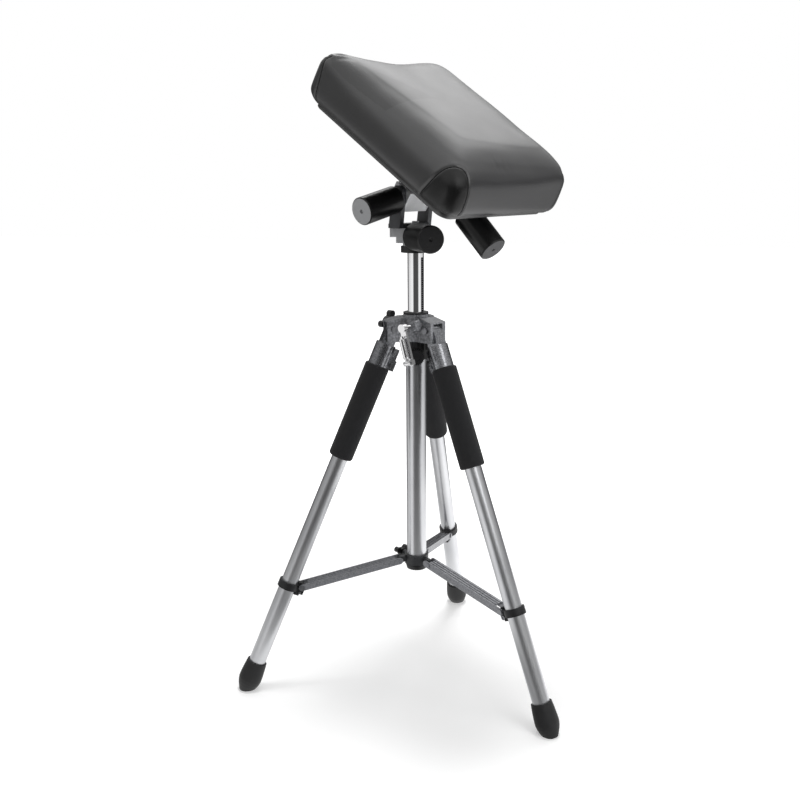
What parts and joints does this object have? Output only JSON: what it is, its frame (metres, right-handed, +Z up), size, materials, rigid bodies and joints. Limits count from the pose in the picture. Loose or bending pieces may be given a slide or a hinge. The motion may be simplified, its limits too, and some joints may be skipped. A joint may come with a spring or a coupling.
{
  "type": "arm rest stand",
  "caption": "Folding tripod stand with a crank-raised column and a padded arm rest that pans, tilts and leans.",
  "frame": {"origin": "on the floor, at the middle of the footprint box; the mast stands 45 mm behind it", "axes": "+Z up along the mast, +Y towards the back leg, +X to the right seen from the two front legs"},
  "size_m": [0.4906, 0.4715, 0.9251],
  "materials": {
    "cast_grey": "hammered, satin",
    "anodised": "satin",
    "chrome": "polished",
    "steel": "satin",
    "black_plastic": "matte",
    "hub_grey": "satin",
    "brace_grey": "satin",
    "light_grey": "satin",
    "bracket_black": "satin",
    "foam": "matte",
    "rubber": "matte",
    "handle_matte": "matte",
    "handle_gloss": "gloss",
    "board": "raw",
    "cover": "satin"
  },
  "bodies": {
    "base": {"cast_spider": "cast_grey", "centre_tube": "anodised", "neck_collar": "black_plastic", "tube_end_cap": "black_plastic", "top_bushing": "black_plastic", "leg_pivot_pins": "steel"},
    "column": {"column_tube": "chrome", "column_rack": "steel", "column_guide": "black_plastic", "column_collar": "black_plastic"},
    "crank": {"drive_pinion": "steel", "crank_shaft": "chrome", "crank_arm": "chrome", "crank_hinge_pin": "steel"},
    "crank_grip": {"crank_handle": "chrome"},
    "column_lock": {"column_lock_knob": "black_plastic", "column_lock_screw": "steel"},
    "drag_adjuster": {"drag_knob": "black_plastic", "drag_screw": "steel"},
    "hub": {"spreader_hub": "hub_grey", "hub_pins": "steel"},
    "hub_lock": {"hub_knob": "black_plastic", "hub_screw": "steel"},
    "yoke": {"pan_base": "light_grey", "pan_yoke": "hub_grey"},
    "tilt_head": {"tilt_block": "light_grey", "roll_block": "bracket_black", "tilt_axle": "steel"},
    "pad": {"top_bracket": "bracket_black", "roll_axle": "steel", "pad_board": "board", "pad_cushion": "cover", "board_screws": "steel"},
    "pan_lock": {"pan_handle": "handle_matte", "pan_handle_rod": "steel"},
    "tilt_lock": {"tilt_handle": "handle_gloss", "tilt_handle_rod": "steel"},
    "side_lock": {"side_handle": "handle_gloss", "side_handle_rod": "steel"},
    "leg_left": {"leg_tube_left": "anodised", "leg_socket_left": "cast_grey", "foam_grip_left": "foam", "rubber_foot_left": "rubber", "brace_clamp_left": "black_plastic", "leg_fasteners_left": "steel"},
    "brace_left": {"brace_left": "brace_grey"},
    "leg_right": {"leg_tube_right": "anodised", "leg_socket_right": "cast_grey", "foam_grip_right": "foam", "rubber_foot_right": "rubber", "brace_clamp_right": "black_plastic", "leg_fasteners_right": "steel"},
    "brace_right": {"brace_right": "brace_grey"},
    "leg_back": {"leg_tube_back": "anodised", "leg_socket_back": "cast_grey", "foam_grip_back": "foam", "rubber_foot_back": "rubber", "brace_clamp_back": "black_plastic", "leg_fasteners_back": "steel"},
    "brace_back": {"brace_back": "brace_grey"}
  },
  "joints": [
    {"name": "raise", "type": "slide", "parent": "base", "child": "column", "axis": [0, 0, 1], "range_m": [-0.045, 0.2]},
    {"name": "crank_turn", "type": "hinge", "parent": "base", "child": "crank", "pos_m": [0.01562, -0.05068, 0.554], "axis": [0.342, 0.9397, 0], "range_deg": [-430.7, 1910.9]},
    {"name": "crank_handle_swing", "type": "hinge", "parent": "crank", "child": "crank_grip", "pos_m": [0.0075, -0.11328, 0.50594], "axis": [0.9033, -0.3288, 0.2756], "range_deg": [0, 90]},
    {"name": "column_lock_turn", "type": "hinge", "parent": "base", "child": "column_lock", "pos_m": [-0.04763, -0.0175, 0.5493], "axis": [-0.866, 0.5, 0], "range_deg": [0, 270]},
    {"name": "drag_turn", "type": "hinge", "parent": "base", "child": "drag_adjuster", "pos_m": [0.00742, -0.06782, 0.5077], "axis": [0.309, -0.9511, 0], "range_deg": [0, 270]},
    {"name": "leg_fold_left", "type": "hinge", "parent": "base", "child": "leg_left", "pos_m": [-0.03031, -0.0625, 0.5476], "axis": [0.5, -0.866, 0], "range_deg": [0, 5]},
    {"name": "leg_fold_right", "type": "hinge", "parent": "base", "child": "leg_right", "pos_m": [0.03031, -0.0625, 0.5476], "axis": [0.5, 0.866, 0], "range_deg": [0, 5]},
    {"name": "leg_fold_back", "type": "hinge", "parent": "base", "child": "leg_back", "pos_m": [0, -0.01, 0.5476], "axis": [-1, 0, 0], "range_deg": [0, 5]},
    {"name": "brace_swing_left", "type": "hinge", "parent": "leg_left", "child": "brace_left", "pos_m": [-0.15609, -0.13512, 0.15844], "axis": [0.5, -0.866, 0], "range_deg": [0, 24.6]},
    {"name": "brace_swing_right", "type": "hinge", "parent": "leg_right", "child": "brace_right", "pos_m": [0.15609, -0.13512, 0.15844], "axis": [0.5, 0.866, 0], "range_deg": [0, 24.6]},
    {"name": "brace_swing_back", "type": "hinge", "parent": "leg_back", "child": "brace_back", "pos_m": [0, 0.13524, 0.15844], "axis": [-1, 0, 0], "range_deg": [0, 24.6]},
    {"name": "hub_slide", "type": "slide", "parent": "base", "child": "hub", "axis": [0, 0, 1], "range_m": [0, 0.0617]},
    {"name": "hub_lock_turn", "type": "hinge", "parent": "hub", "child": "hub_lock", "pos_m": [-0.02598, -0.03, 0.1875], "axis": [-0.866, 0.5, 0], "range_deg": [0, 270]},
    {"name": "pan", "type": "hinge", "parent": "column", "child": "yoke", "pos_m": [0, -0.045, 0.702], "axis": [0, 0, 1], "continuous": true},
    {"name": "tilt", "type": "hinge", "parent": "yoke", "child": "tilt_head", "pos_m": [0, -0.045, 0.742], "axis": [0.454, 0.891, 0], "range_deg": [-45, 7.5]},
    {"name": "side_tilt", "type": "hinge", "parent": "tilt_head", "child": "pad", "pos_m": [0.01232, -0.05633, 0.7673], "axis": [0.7515, -0.3829, -0.5373], "range_deg": [-25, 25]},
    {"name": "pan_lock_turn", "type": "hinge", "parent": "yoke", "child": "pan_lock", "pos_m": [0.00539, -0.06735, 0.6805], "axis": [0.5736, -0.8192, 0], "range_deg": [0, 180]},
    {"name": "tilt_lock_turn", "type": "hinge", "parent": "yoke", "child": "tilt_lock", "pos_m": [-0.01862, -0.08153, 0.73291], "axis": [-0.4432, -0.8699, -0.2164], "range_deg": [0, 180]},
    {"name": "side_lock_turn", "type": "hinge", "parent": "pad", "child": "side_lock", "pos_m": [0.0844, -0.08801, 0.71426], "axis": [0.6409, -0.3266, -0.6947], "range_deg": [0, 180]}
  ],
  "couplings": [
    {"joint": "crank_turn", "follows": "raise", "rad_per_m": 166.67},
    {"joint": "leg_fold_right", "follows": "leg_fold_left", "ratio": 1},
    {"joint": "leg_fold_back", "follows": "leg_fold_left", "ratio": 1},
    {"joint": "brace_swing_left", "follows": "leg_fold_left", "ratio": 4.904},
    {"joint": "brace_swing_right", "follows": "leg_fold_left", "ratio": 4.904},
    {"joint": "brace_swing_back", "follows": "leg_fold_left", "ratio": 4.904},
    {"joint": "hub_slide", "follows": "leg_fold_left", "m_per_rad": 0.7052}
  ]
}
